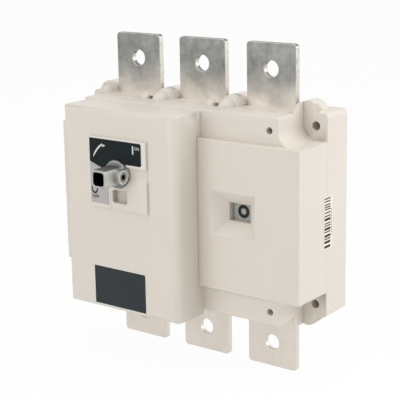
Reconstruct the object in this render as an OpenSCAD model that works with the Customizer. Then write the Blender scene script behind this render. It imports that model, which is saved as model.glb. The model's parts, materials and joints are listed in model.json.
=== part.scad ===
// Three-pole load-break switch disconnector with a rotary drive.
// The origin is the centre of the four mounting holes on the back plane.
// X runs along the poles, Y points from the front to the back, Z points up.

/* [Case] */
// Width of the case over the fixing ears
case_w = 230; // [222:1:240]
// Height of the moulded case
case_h = 160; // [156:1:168]
// Depth of the rear case, which is also the depth of the fixing ears
rear_d = 30; // [28:1:34]
// Depth of the case at the ledges above and below the front pad
ledge_d = 65; // [64:1:68]
// Height of the raised front pad
pad_h = 118; // [114:1:124]
// How far the front pad stands proud of the ledges
pad_t = 5; // [4:0.5:7]
// Radius of the round corner pockets in front of the fixing holes
pocket_r = 11; // [9:0.5:12]
// Thickness of the outer moulded walls
wall = 4; // [3:0.5:5]
// Radius of the upright case edges
case_edge_r = 4; // [2:0.5:6]

/* [Fixing] */
// Distance of the fixing holes from the sides of the case
fix_edge_x = 10; // [9:0.5:11]
// Distance of the fixing holes from the top and the bottom of the case
fix_edge_z = 10; // [8:0.5:12]
// Radius of a fixing hole
fix_r = 3.5; // [2.5:0.25:4.5]

/* [Poles] */
// Distance from pole to pole
pole_pitch = 65; // [64:0.5:67]
// Thickness of the walls between the poles
pole_wall = 4; // [3:0.5:5]
// Radius of the round barrier ridges beside the terminals
ridge_r = 10; // [7:0.5:11]
// How far a ridge stands above the case
ridge_rise = 8.5; // [4:0.5:9]

/* [Terminals] */
// Width of a terminal bar
bar_w = 45; // [38:1:48]
// Thickness of a terminal bar
bar_t = 5; // [4:0.5:6]
// Height of the terminal tips above and below the middle
bar_tip = 130; // [124:1:140]
// Height of the terminal holes above and below the middle
bar_hole_z = 110; // [102:1:116]
// Radius of a terminal hole
bar_hole_r = 6.5; // [4:0.5:8]
// Radius of the outer corners of a terminal bar
bar_corner_r = 3; // [1:0.5:8]
// Width of the neck of a terminal bar inside the case
neck_w = 36; // [32:0.5:37]

/* [Contacts] */
// Width of a contact knife, and of the moving bars that grip it
knife_w = 14; // [12:0.5:15]
// Gap between the ends of a moving contact bar and the ends of its chamber
bridge_end = 9; // [8:0.5:12]
// Thickness of a moving contact bar
bridge_t = 5; // [4:0.5:5.5]
// Plates in an arc chute
chute_plates = 8; // [4:1:9]

/* [Drive] */
// Distance of the shaft axis from the middle, to the left
shaft_left = 31; // [30:0.5:34]
// Height of the shaft axis above the middle
shaft_z = 30; // [28:0.5:31]
// Radius of the shaft in its bearings
shaft_r = 6; // [5.5:0.25:6.5]
// Teeth of a full drive pinion
pinion_teeth = 15; // [15:1:15]
// Tooth module of the pinion and the rack
tooth_module = 2; // [1.9:0.05:2]
// Half height of the contact carriage
carriage_half = 20; // [18:0.5:21]

/* [Mechanism housing] */
// Left side of the mechanism housing, from the middle
housing_left = 87.5; // [85:0.5:90]
// Right side of the mechanism housing, from the middle
housing_right = 23.5; // [21:0.5:25]
// Height of the mechanism housing
housing_h = 158; // [150:1:158]
// Depth from the back plane to the front of the mechanism housing
housing_d = 98; // [96:1:104]
// Wall of the mechanism housing
housing_wall = 3; // [2:0.5:4]
// Radius of the front right edge of the mechanism housing
housing_r = 8; // [5:0.5:12]
// Radius of the other front edges of the mechanism housing
housing_edge_r = 4; // [2:0.5:6]

/* [Front plates] */
// Width of the indication plate round the shaft
plate_w = 57; // [54:0.5:60]
// Height of the indication plate round the shaft
plate_h = 56; // [54:0.5:58]
// How far the indication plate stands proud
plate_t = 2.5; // [1.5:0.25:3]
// Thickness of the printed films
film_t = 0.3; // [0.2:0.05:0.5]
// How much narrower the blank rating label is than the plate above it
label_inset = 5.5; // [4:0.5:16]
// Height of the blank rating label
label_h = 29; // [20:1:32]

/* [Shaft sleeve] */
// Width of the square sleeve
sleeve_w = 14; // [13:0.25:16]
// Width of the square socket in the sleeve
socket_w = 10.4; // [9:0.1:11]
// How far the sleeve stands out from the mechanism housing
sleeve_out = 24.4; // [20:0.2:34]
// Radius of the round collar at the root of the sleeve
collar_r = 11; // [10:0.1:11.4]

/* [Indicator window] */
// Middle of the window, from the middle of the case
window_x = 56; // [54:0.5:57]
// Height of the middle of the window
window_z = 2.5; // [0:0.5:4]
// Width of the window opening
window_w = 19.5; // [16:0.5:20]
// Height of the window opening
window_h = 14.4; // [12:0.2:16]
// Depth of the sloping funnel round the window
funnel_d = 10; // [8:0.5:11]
// How far the funnel spreads on each side
funnel_spread = 10.5; // [6:0.5:11]

/* [Hidden] */
$fn = 64;

// Colours
cream = [0.85, 0.82, 0.78];
slate = [0.15, 0.18, 0.20];
grey = [0.72, 0.71, 0.71];
copper = [0.72, 0.72, 0.70];
steel = [0.60, 0.61, 0.60];
dark_steel = [0.35, 0.36, 0.37];
white = [0.95, 0.94, 0.90];
fibre = [0.62, 0.36, 0.24];
moulding = [0.33, 0.34, 0.35];

// Small clearances
over = 1;
fit_gap = 0.05;
slide_gap = 0.3;

// Where the case is cut into levels, from the back plane to the front
part_y = -rear_d;
ledge_y = -ledge_d;
pad_y = ledge_y - pad_t;
housing_y = -housing_d;
plate_y = housing_y - plate_t;
sleeve_y = housing_y - sleeve_out;
floor_y = -6.3;
mech_back_y = -48;
front_wall = 4;
mech_front_y = pad_y + front_wall;

// Fixing holes
fix_w = case_w - 2 * fix_edge_x;
fix_h = case_h - 2 * fix_edge_z;

// Inside of the case
chamber_half_h = pad_h / 2 - 2;
collar_half = fix_w / 2 - pocket_r;
inner_half_w = collar_half - 3;
pole_x = [-pole_pitch, 0, pole_pitch];
ridge_x = [-1.5 * pole_pitch, -pole_pitch / 2, pole_pitch / 2, 1.5 * pole_pitch];
ridge_axis_z = case_h / 2 + ridge_rise - ridge_r;
ridge_front = 5;
ridge_back = 12;

// Terminals lie in slots of the rear case with their front faces at the parting plane
bar_back_y = part_y + bar_t;
knife_in_z = 28;
knife_x = -18;
shoulder_z = case_h / 2 - 3;

// Travel of the carriage for a quarter turn of the shaft
pitch_r = pinion_teeth * tooth_module / 2;
travel = pitch_r * PI / 2;
bridge_closed_x = knife_x + knife_w / 2;
bridge_open_x = bridge_closed_x + travel;
bridge_gap = 0.05;
bridge_half = chamber_half_h - bridge_end;

// Carriage
carriage_front_y = -45;
carriage_back_y = floor_y - 0.2;
carriage_side = 3;
carriage_slot_w = knife_w + 2 * fit_gap;
carriage_left = -pole_pitch + bridge_open_x - carriage_slot_w / 2 - carriage_side;
carriage_right = pole_pitch + bridge_open_x + carriage_slot_w / 2 + carriage_side;
slot_front_y = -42;
slot_back_y = -13;
chute_in_z = carriage_half + 6;
chute_out_z = chamber_half_h - 1;
chute_x = knife_x + knife_w + 3;
chute_w = inner_half_w - pole_pitch - chute_x - 1;

// Drive train
shaft_x = -shaft_left;
pinion_y = -62;
pinion_w = 9;
pinion_back_y = pinion_y + pinion_w;
bearing_r = shaft_r + 3;
bearing_flange_r = bearing_r + 1.2;
shaft_nose_r = 4.8;
shaft_square = 8;
pressure = 20;
base_r = pitch_r * cos(pressure);
tip_r = pitch_r + tooth_module;
root_r = pitch_r - 1.25 * tooth_module;
rack_z = shaft_z - pitch_r;
rack_tip = 0.8 * tooth_module;
rack_root = 1.15 * tooth_module;
backlash = 0.12;
tooth_pitch = PI * tooth_module;
rack_left = shaft_x - 14;
rack_right = shaft_x + travel + 12;
rack_base_z = 4;
shelf_z = -6;
wire_r = 0.9;
coil_r = shaft_r + 4.2;
coil_leg = 14;
lever_y = pad_y - 5.4;

// Indicator flag behind the window
flag_t = 1.3;
flag_y = pad_y + funnel_d + 5;
mark_t = 0.3;
mark_r = 5.2;
mark_stroke = 2;
flag_margin = 0.7;

// Screws
screw_r = 1.5;
screw_head_r = 2.4;
case_screw_x = pole_pitch + neck_w / 2 + 2 * screw_r;
case_screw_z = (pad_h + case_h) / 4 + 0.5;
case_screw_depth = 15;
case_head_y = 8;
terminal_screw_z = (chamber_half_h + case_h / 2) / 2;
terminal_screw_depth = 17;
terminal_head_r = 3.6;
terminal_head_h = 2;
housing_screw_x = [-housing_left + 11, housing_right - 11];
housing_screw_z = 46;

// Indication plate and films
plate_left = shaft_x - plate_w / 2;
plate_bottom = shaft_z - plate_h / 2 - 0.7;
step_z = shaft_z + 6;
off_w = 21;
film_inset = 1.2;
collar_hole_r = collar_r + 0.6;
panel_y = plate_y + 0.5;
diagonal_z = shaft_z + 7.4;

// The finger pocket in the lower right part of the plate, sunk into the housing
pocket_x0 = plate_left + off_w + 1.5;
pocket_x1 = pocket_x0 + 15;
pocket_z0 = plate_bottom + 5.2;
pocket_z1 = shaft_z - bearing_r - 4;
pocket_y = housing_y + 3;
pocket_wall = 2.5;

// Set screw boss on the side of the sleeve
boss_r = 6;
boss_y = plate_y - 0.3 - boss_r;
boss_out = 12;
set_screw_r = 3.6;

function involute_angle(r) = tan(acos(base_r / r)) * 180 / PI - acos(base_r / r);
function tooth_half_angle(r) =
  90 / pinion_teeth - backlash * 90 / (PI * pitch_r)
  + involute_angle(pitch_r) - involute_angle(max(r, base_r));
function polar(r, a) = [r * cos(a), r * sin(a)];
function ring_points(r, turns, rise, n) = [
  for (i = [0:n]) [r * cos(360 * turns * i / n), rise * i / n, r * sin(360 * turns * i / n)]
];

// A box between two opposite corners
module block(low, high) {
  translate(low)
    cube(high - low);
}

// A flat outline in X and Z, extruded from one depth to another
module along_y(y0, y1) {
  translate([0, y1, 0])
    rotate([90, 0, 0])
      linear_extrude(height = y1 - y0)
        children();
}

// A round bar that runs front to back
module rod_y(x, z, y0, y1, r) {
  translate([x, y1, z])
    rotate([90, 0, 0])
      cylinder(h = y1 - y0, r = r);
}

// A rectangle with all four corners rounded
module rounded_rect(x0, x1, z0, z1, r) {
  translate([x0 + r, z0])
    square([x1 - x0 - 2 * r, z1 - z0]);
  translate([x0, z0 + r])
    square([x1 - x0, z1 - z0 - 2 * r]);
  for (x = [x0 + r, x1 - r], z = [z0 + r, z1 - r])
    translate([x, z])
      circle(r = r);
}

// A rectangle whose two corners on the low second axis have their own radii
module front_rounded(a0, a1, b0, b1, r_low, r_high) {
  translate([a0, b0 + max(r_low, r_high)])
    square([a1 - a0, b1 - b0 - max(r_low, r_high)]);
  translate([a0 + r_low, b0])
    square([a1 - a0 - r_low - r_high, b1 - b0]);
  translate([a0, b0 + r_low])
    square([r_low, b1 - b0 - r_low]);
  translate([a1 - r_high, b0 + r_high])
    square([r_high, b1 - b0 - r_high]);
  translate([a0 + r_low, b0 + r_low])
    circle(r = r_low);
  translate([a1 - r_high, b0 + r_high])
    circle(r = r_high);
}

// Round-bottomed pockets that free the four corners in front of the fixing ears
module corner_pocket_outline() {
  reach = 30;
  for (sx = [-1, 1], sz = [-1, 1])
    scale_mirror(sx, sz)
      translate([fix_w / 2, fix_h / 2]) {
        circle(r = pocket_r);
        translate([-pocket_r, 0])
          square([pocket_r + reach, reach]);
        translate([0, -pocket_r])
          square([reach, pocket_r + reach]);
      }
}

module scale_mirror(sx, sz) {
  mirror([sx < 0 ? 1 : 0, 0])
    mirror([0, sz < 0 ? 1 : 0])
      children();
}

// A round rod along Y whose far end is a hemisphere, turned as one profile
module round_nosed_rod(r, length) {
  rotate([-90, 0, 0])
    rotate_extrude()
      intersection() {
        union() {
          circle(r = r);
          translate([0, -length])
            square([r, length]);
        }
        translate([0, -length])
          square([r, length + r]);
      }
}

// Ridges with round ends between the terminals, as far as one half of the case holds them
module ridges(length, direction) {
  for (x = ridge_x, s = [-1, 1])
    translate([x, part_y + direction * length, s * ridge_axis_z])
      mirror([0, direction < 0 ? 1 : 0, 0])
        round_nosed_rod(ridge_r, length);
}

// The three chambers, each between its pole walls or the side of the case
module chambers(y0, y1) {
  half = pole_pitch / 2 - pole_wall / 2;
  block([-inner_half_w, y0, -chamber_half_h], [-pole_pitch + half, y1, chamber_half_h]);
  block([-half, y0, -chamber_half_h], [half, y1, chamber_half_h]);
  block([pole_pitch - half, y0, -chamber_half_h], [inner_half_w, y1, chamber_half_h]);
}

// The passage of the contact carriage through the pole walls
module carriage_passage(y0, y1) {
  slot = carriage_half + slide_gap;
  block([-inner_half_w, y0, -slot], [inner_half_w, y1, slot]);
}

module fixing_holes() {
  for (x = [-fix_w / 2, fix_w / 2], z = [-fix_h / 2, fix_h / 2])
    rod_y(x, z, part_y - over, over, fix_r);
}

module rear_case() {
  color(cream)
    difference() {
      union() {
        along_y(part_y, 0)
          rounded_rect(-case_w / 2, case_w / 2, -case_h / 2, case_h / 2, case_edge_r);
        ridges(ridge_back, 1);
      }
      chambers(part_y - over, floor_y);
      carriage_passage(part_y - over, floor_y);
      for (x = pole_x, s = [-1, 1])
        terminal_slot(x, s);
      fixing_holes();
      for (x = [-case_screw_x, case_screw_x], z = [-case_screw_z, case_screw_z])
        rod_y(x, z, part_y - over, part_y + case_screw_depth + 1, screw_r + fit_gap);
      for (x = pole_x, s = [-1, 1])
        rod_y(x, s * terminal_screw_z, part_y - over, part_y + terminal_screw_depth + 1,
              screw_r + fit_gap);
      side_relief();
      back_relief();
    }
}

// Weight-saving hollows in the side blocks of the rear case, closed by the front case
module side_relief() {
  for (s = [-1, 1]) {
    x0 = s > 0 ? inner_half_w + wall : -case_w / 2 + wall;
    x1 = s > 0 ? case_w / 2 - wall : -inner_half_w - wall;
    block([x0, part_y - over, -pad_h / 2 + 8], [x1, floor_y, pad_h / 2 - 8]);
  }
}

// Shallow hollows in the back of the rear case, behind the terminals
module back_relief() {
  for (x = pole_x, s = [-1, 1])
    along_y(-4, over)
      scale_mirror(1, s)
        rounded_rect(x - 20, x + 20, chamber_half_h + 4, case_h / 2 - 5, 2);
}

// A stepped slot in the end of the rear case that a terminal bar drops into
module terminal_slot(x, s) {
  neck = neck_w / 2 + fit_gap;
  half = bar_w / 2 + fit_gap;
  mirror([0, 0, s < 0 ? 1 : 0]) {
    block([x - neck, part_y - over, chamber_half_h - over], [x + neck, bar_back_y, case_h]);
    block([x - half, part_y - over, shoulder_z - fit_gap], [x + half, bar_back_y, case_h]);
  }
}

module front_case() {
  color(cream)
    difference() {
      union() {
        difference() {
          union() {
            along_y(ledge_y, part_y)
              rounded_rect(-case_w / 2, case_w / 2, -case_h / 2, case_h / 2, 1);
            along_y(pad_y, part_y)
              rounded_rect(-case_w / 2, case_w / 2, -pad_h / 2, pad_h / 2, 0.8);
            ridges(ridge_front, -1);
          }
          along_y(ledge_y - over, part_y + over)
            corner_pocket_outline();
          block([-inner_half_w, mech_front_y, -chamber_half_h],
                [inner_half_w, mech_back_y, chamber_half_h]);
          chambers(mech_back_y - over, part_y + over);
          carriage_passage(mech_back_y - over, part_y + over);
          vent_pockets();
          side_hollows();
        }
        window_box();
        rod_y(shaft_x, shaft_z, pad_y, mech_front_y + 1.5, bearing_r + 3);
      }
      window_funnel();
      rod_y(shaft_x, shaft_z, pad_y - over, mech_front_y + 3, bearing_r + fit_gap);
      for (x = [-case_screw_x, case_screw_x], z = [-case_screw_z, case_screw_z]) {
        rod_y(x, z, ledge_y - over, part_y - case_head_y, screw_head_r + 0.1);
        rod_y(x, z, ledge_y, part_y + over, screw_r + fit_gap);
      }
      for (x = housing_screw_x, z = [-housing_screw_z, housing_screw_z])
        rod_y(x, z, pad_y - over, mech_front_y + over, screw_r + fit_gap);
      for (x = pole_x, s = [-1, 1])
        rod_y(x, s * terminal_screw_z, part_y - terminal_head_h - slide_gap, part_y + over,
              terminal_head_r + slide_gap);
      ridge_notches();
    }
}

// Chambers in front of the terminals, with two narrow slots each to let hot gas out
module vent_pockets() {
  half = bar_w / 2 - 6;
  for (x = pole_x, s = [-1, 1])
    mirror([0, 0, s < 0 ? 1 : 0]) {
      block([x - half, ledge_y + wall, chamber_half_h + 4],
            [x + half, part_y + over, case_h / 2 - wall]);
      for (dx = [-11, 9])
        block([x + dx - 3.5, part_y - 14, case_h / 2 - wall - over],
              [x + dx + 3.5, part_y - 12.9, case_h / 2 + over]);
    }
}

// Hollows beside the chambers, closed by the rear case
module side_hollows() {
  for (s = [-1, 1]) {
    x0 = s > 0 ? inner_half_w + wall : -case_w / 2 + wall;
    x1 = s > 0 ? case_w / 2 - wall : -inner_half_w - wall;
    block([x0, ledge_y + over, -pad_h / 2 + 8], [x1, part_y + over, pad_h / 2 - 8]);
  }
}

// Small upright notches at the left foot of each ridge
module ridge_notches() {
  for (x = ridge_x, s = [-1, 1])
    mirror([0, 0, s < 0 ? 1 : 0])
      block([x - ridge_r - 1, part_y - ridge_front - 4, case_h / 2 - 4],
            [x - ridge_r + 0.8, part_y - ridge_front + 2, case_h / 2 + ridge_rise]);
}

// The square tube behind the window, which reaches close to the indicator flag
module window_box() {
  t = 2.5;
  block([window_x - window_w / 2 - t, mech_front_y - over, window_z - window_h / 2 - t],
        [window_x + window_w / 2 + t, flag_y - mark_t - slide_gap, window_z + window_h / 2 + t]);
  block([window_x - window_w / 2 - funnel_spread, mech_front_y - over,
         window_z - window_h / 2 - funnel_spread + 1],
        [window_x + window_w / 2 + funnel_spread, pad_y + funnel_d - 2,
         window_z + window_h / 2 + funnel_spread - 1]);
}

// A funnel with four flat slopes and the straight opening behind it
module window_funnel() {
  w = window_w / 2;
  h = window_h / 2;
  s = funnel_spread;
  v = funnel_spread - 0.4;
  intersection() {
    translate([0, 0, window_z - h - s])
      linear_extrude(height = 2 * (h + s))
        polygon([
          [window_x - w - s, pad_y], [window_x - w - s, pad_y - over],
          [window_x + w + s, pad_y - over], [window_x + w + s, pad_y],
          [window_x + w, pad_y + funnel_d], [window_x - w, pad_y + funnel_d]
        ]);
    translate([window_x - w - s, 0, 0])
      rotate([90, 0, 90])
        linear_extrude(height = 2 * (w + s))
          polygon([
            [pad_y, window_z - h - v], [pad_y - over, window_z - h - v],
            [pad_y - over, window_z + h + v], [pad_y, window_z + h + v],
            [pad_y + funnel_d, window_z + h], [pad_y + funnel_d, window_z - h]
          ]);
  }
  block([window_x - w, pad_y, window_z - h], [window_x + w, flag_y + over, window_z + h]);
}

// The body of the mechanism housing, drawn in by an even margin for its hollow
module housing_body(inset, back_y) {
  r_left = max(housing_edge_r - inset, 0.5);
  r_right = max(housing_r - inset, 0.5);
  intersection() {
    translate([0, 0, -housing_h / 2 + inset])
      linear_extrude(height = housing_h - 2 * inset)
        front_rounded(-housing_left + inset, housing_right - inset,
                      housing_y + inset, back_y, r_left, r_right);
    translate([-housing_left - over, 0, 0])
      rotate([90, 0, 90])
        linear_extrude(height = housing_left + housing_right + 2 * over)
          mirror([1, 0])
            rotate([0, 0, 90])
              front_rounded(-housing_h / 2 + inset, housing_h / 2 - inset,
                            housing_y + inset, back_y, r_left, r_left);
  }
}

module mechanism_housing() {
  color(cream)
    difference() {
      union() {
        difference() {
          housing_body(0, ledge_y);
          housing_body(housing_wall, ledge_y + over);
        }
        rod_y(shaft_x, shaft_z, housing_y + over, housing_y + 12, bearing_r + 3);
        for (x = housing_screw_x, z = [-housing_screw_z, housing_screw_z])
          rod_y(x, z, housing_y + over, pad_y, 4);
        block([pocket_x0 - pocket_wall, housing_y + over, pocket_z0 - pocket_wall],
              [pocket_x1 + pocket_wall, pocket_y + pocket_wall, pocket_z1 + pocket_wall]);
      }
      block([-housing_left - over, pad_y, -pad_h / 2 - fit_gap],
            [housing_right + over, 0, pad_h / 2 + fit_gap]);
      rod_y(shaft_x, shaft_z, housing_y - over, housing_y + 20, bearing_r + fit_gap);
      rod_y(shaft_x, shaft_z, housing_y - over, housing_y + 2, collar_hole_r);
      plate_pocket();
      for (x = housing_screw_x, z = [-housing_screw_z, housing_screw_z])
        rod_y(x, z, pad_y - 12, pad_y + over, screw_r + fit_gap);
      block([-housing_left - over, housing_y - over, -case_h],
            [plate_left + plate_w + 0.5, housing_y + 0.4, plate_bottom - 0.5]);
    }
}

module plate_pocket() {
  along_y(plate_y - over, pocket_y)
    rounded_rect(pocket_x0, pocket_x1, pocket_z0, pocket_z1, 2);
}

module indication_plate() {
  right = plate_left + plate_w;
  top = plate_bottom + plate_h;
  color(cream)
    difference() {
      union() {
        block([plate_left, plate_y, step_z], [right, housing_y, top]);
        block([plate_left, plate_y, plate_bottom], [plate_left + off_w, housing_y, top]);
        translate([plate_left + off_w - over, 0, 0])
          rotate([90, 0, 90])
            linear_extrude(height = plate_w - off_w + over)
              polygon([
                [housing_y, plate_bottom], [panel_y, plate_bottom], [panel_y, shaft_z - 6],
                [housing_y - 0.4, shaft_z - 2], [housing_y - 0.4, step_z], [housing_y, step_z]
              ]);
      }
      rod_y(shaft_x, shaft_z, plate_y - over, 0, collar_hole_r);
      plate_pocket();
    }
}

// The dark film with the switching field on the upper part of the plate
module on_film() {
  left = plate_left + film_inset;
  right = plate_left + plate_w - 4.2;
  top = plate_bottom + plate_h - film_inset;
  color(slate)
    difference() {
      along_y(plate_y - film_t, plate_y)
        polygon([
          [left, top], [right - 1, top], [right, top - 1], [right, step_z + 3.3],
          [right - 1, step_z + 2.3], [shaft_x - 5, step_z + 2.3],
          [shaft_x - collar_r, shaft_z + 1.8], [left, diagonal_z]
        ]);
      rod_y(shaft_x, shaft_z, plate_y - over, 0, collar_hole_r);
    }
}

// The grey film with the off field on the lower left part of the plate
module off_film() {
  left = plate_left + film_inset;
  right = plate_left + off_w - 1.7;
  bottom = plate_bottom + 3;
  color(grey)
    difference() {
      along_y(plate_y - film_t, plate_y)
        polygon([
          [left, bottom + 1], [left + 1, bottom], [right, bottom], [right, shaft_z],
          [shaft_x - collar_r, shaft_z + 1.4], [left, diagonal_z - 0.4]
        ]);
      rod_y(shaft_x, shaft_z, plate_y - over, 0, collar_hole_r);
    }
}

module rating_label() {
  label_w = plate_w - label_inset;
  x0 = plate_left;
  z0 = -housing_h / 2 + housing_edge_r - 2.4;
  color(slate)
    along_y(housing_y + 0.4 - film_t, housing_y + 0.4)
      rounded_rect(x0, x0 + label_w, z0, z0 + label_h, 1);
}

module side_sticker() {
  color(white)
    block([case_w / 2, part_y - 4.7, -24], [case_w / 2 + film_t, part_y + 8, 17]);
}

// A bush with a thin flange on its front
module bush(y0, y1) {
  color(steel)
    difference() {
      union() {
        rod_y(shaft_x, shaft_z, y0, y1, bearing_r);
        rod_y(shaft_x, shaft_z, y1 - 1, y1, bearing_flange_r);
      }
      rod_y(shaft_x, shaft_z, y0 - over, y1 + over, shaft_r + fit_gap);
    }
}

module front_bearing() {
  bush(housing_y + 2, housing_y + 13);
}

module rear_bearing() {
  bush(pad_y - 2, mech_front_y + 2.5);
}

// A screw with a round head at its front end and a recess in the head
module screw(x, z, head_y, head_h, end_y, head_radius) {
  difference() {
    union() {
      rod_y(x, z, head_y, head_y + head_h, head_radius);
      rod_y(x, z, head_y, end_y, screw_r);
    }
    translate([x, head_y + head_h / 2, z])
      rotate([90, 0, 0])
        cylinder(h = head_h, r = head_radius / 2, $fn = 6);
  }
}

module case_screws() {
  head_h = 3;
  color(dark_steel)
    for (x = [-case_screw_x, case_screw_x], z = [-case_screw_z, case_screw_z])
      screw(x, z, part_y - case_head_y - head_h, head_h, part_y + case_screw_depth, screw_head_r);
}

// These screws enter from inside the front case, so their heads face the back
module housing_screws() {
  head_h = 2.4;
  color(dark_steel)
    for (x = housing_screw_x, z = [-housing_screw_z, housing_screw_z])
      translate([0, 2 * mech_front_y, 0])
        mirror([0, 1, 0])
          screw(x, z, mech_front_y - head_h, head_h, mech_front_y + front_wall + 11, 3);
}

// A terminal bar with its hole, its fixing screw hole and its contact knife
module terminal(x, s) {
  color(copper)
    mirror([0, 0, s < 0 ? 1 : 0])
      difference() {
        union() {
          along_y(part_y, bar_back_y) {
            rounded_rect(x - bar_w / 2, x + bar_w / 2, shoulder_z, bar_tip, bar_corner_r);
            translate([x - bar_w / 2, shoulder_z])
              square([bar_w, 2 * bar_corner_r]);
            translate([x - neck_w / 2, chamber_half_h])
              square([neck_w, shoulder_z + over - chamber_half_h]);
            translate([x + knife_x, knife_in_z])
              square([knife_w, chamber_half_h + over - knife_in_z]);
          }
        }
        rod_y(x, bar_hole_z, part_y - over, bar_back_y + over, bar_hole_r);
        rod_y(x, terminal_screw_z, part_y - over, bar_back_y + over, screw_r + fit_gap);
        knife_bevels(x);
      }
}

// Bevels that let the moving bars ride up onto the knife
module knife_bevels(x) {
  edge = x + knife_x + knife_w;
  bevel = 1.2;
  for (y = [part_y, bar_back_y])
    translate([edge, y, knife_in_z - over])
      rotate([0, 0, 45])
        translate([-bevel, -bevel, 0])
          cube([2 * bevel, 2 * bevel, chamber_half_h - knife_in_z]);
}

module terminal_screws() {
  color(dark_steel)
    for (x = pole_x, s = [-1, 1])
      screw(x, s * terminal_screw_z, part_y - terminal_head_h, terminal_head_h,
            part_y + terminal_screw_depth, terminal_head_r);
}

// One arc chute: deion plates with a notch for the moving bars, held by two cheeks
module arc_chute(x, s) {
  x0 = x + chute_x;
  pitch = chute_w / chute_plates;
  y0 = mech_back_y + 1.5;
  y1 = floor_y - 1.2;
  notch_y0 = part_y - bridge_t - 2.5;
  notch_y1 = bar_back_y + bridge_t + 2.5;
  mirror([0, 0, s < 0 ? 1 : 0]) {
    color(dark_steel)
      for (i = [0:chute_plates - 1])
        translate([x0 + i * pitch, 0, 0])
          rotate([90, 0, 90])
            linear_extrude(height = 1)
              polygon([
                [y0, chute_in_z], [notch_y0, chute_in_z], [notch_y0, bridge_half + 1],
                [notch_y0 + 3, bridge_half + 3], [notch_y1 - 3, bridge_half + 3],
                [notch_y1, bridge_half + 1], [notch_y1, chute_in_z], [y1, chute_in_z],
                [y1, chute_out_z], [y0, chute_out_z]
              ]);
    color(fibre) {
      block([x0 - 1, y0 - 1.2, chute_in_z], [x0 + chute_w, y0, chute_out_z]);
      block([x0 - 1, y1, chute_in_z], [x0 + chute_w, y1 + 1.2, chute_out_z]);
    }
  }
}

// A torsion spring round the shaft, with one leg on the post and one on the lever
module drive_spring() {
  sides = 8;
  turns = 3.5;
  per_turn = 20;
  n = turns * per_turn;
  coil = ring_points(coil_r, turns, turns * (2 * wire_r + 0.2), n);
  leg = [0, 0, -coil_leg];
  route = concat([coil[0] + leg], coil, [coil[n] + leg, coil[n] + leg + [0, 5, -1]]);
  last = len(route) - 1;
  rings = [
    for (i = [0:last])
      let (
        a = route[max(i - 1, 0)],
        b = route[min(i + 1, last)],
        t = (b - a) / norm(b - a),
        u = cross(t, [0, 1, 0]) / norm(cross(t, [0, 1, 0])),
        v = cross(t, u)
      )
      for (k = [0:sides - 1])
        route[i] + wire_r * (cos(360 * k / sides) * u + sin(360 * k / sides) * v)
  ];
  skin = [
    for (i = [0:last - 1], k = [0:sides - 1])
      [i * sides + k, i * sides + (k + 1) % sides,
       (i + 1) * sides + (k + 1) % sides, (i + 1) * sides + k]
  ];
  caps = [
    [for (k = [0:sides - 1]) sides - 1 - k],
    [for (k = [0:sides - 1]) last * sides + k]
  ];
  color(steel)
    translate([shaft_x, housing_y + 14, shaft_z])
      polyhedron(points = rings, faces = concat(skin, caps), convexity = 6);
}

// The fixed post in the housing that holds the still leg of the spring
module spring_post() {
  post_r = 2;
  color(steel)
    rod_y(shaft_x + coil_r + wire_r + post_r + 0.1, shaft_z - coil_leg + 3, housing_y + 12, pad_y, post_r);
}

module operating_shaft() {
  color(steel)
    difference() {
      union() {
        rod_y(shaft_x, shaft_z, housing_y + 1, pinion_y, shaft_r);
        rod_y(shaft_x, shaft_z, sleeve_y + 11, housing_y + 1, shaft_nose_r);
        block([shaft_x - shaft_square / 2, pinion_y, shaft_z - shaft_square / 2],
              [shaft_x + shaft_square / 2, pinion_back_y, shaft_z + shaft_square / 2]);
        rod_y(shaft_x, shaft_z, pinion_back_y, pinion_back_y + 2.2, 3.5);
      }
      block([shaft_x + shaft_nose_r - 0.6, sleeve_y, shaft_z - 10],
            [shaft_x + 10, housing_y - 0.5, shaft_z + 10]);
    }
}

// The square sleeve that takes the spindle of an outside handle
module shaft_sleeve() {
  half = sleeve_w / 2;
  color(copper)
    difference() {
      union() {
        along_y(sleeve_y, housing_y)
          rounded_rect(shaft_x - half, shaft_x + half, shaft_z - half, shaft_z + half, 2.6);
        rod_y(shaft_x, shaft_z, plate_y - 1.5, housing_y + 0.7, collar_r);
        translate([shaft_x, boss_y, shaft_z])
          rotate([0, 90, 0])
            cylinder(h = boss_out, r = boss_r);
      }
      along_y(sleeve_y - over, sleeve_y + 10.9)
        rounded_rect(shaft_x - socket_w / 2, shaft_x + socket_w / 2,
                     shaft_z - socket_w / 2, shaft_z + socket_w / 2, 2.4);
      rod_y(shaft_x, shaft_z, sleeve_y, housing_y + 2, shaft_nose_r + fit_gap);
      translate([shaft_x, boss_y, shaft_z])
        rotate([0, 90, 0])
          cylinder(h = boss_out + over, r = set_screw_r + fit_gap);
    }
}

module set_screw() {
  tip = shaft_nose_r - 0.6;
  color(steel)
    translate([shaft_x, boss_y, shaft_z])
      rotate([0, 90, 0])
        difference() {
          translate([0, 0, tip])
            cylinder(h = boss_out - tip - 0.4, r = set_screw_r);
          translate([0, 0, boss_out - 4])
            cylinder(h = 5, r = 2.4, $fn = 6);
        }
}

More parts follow.
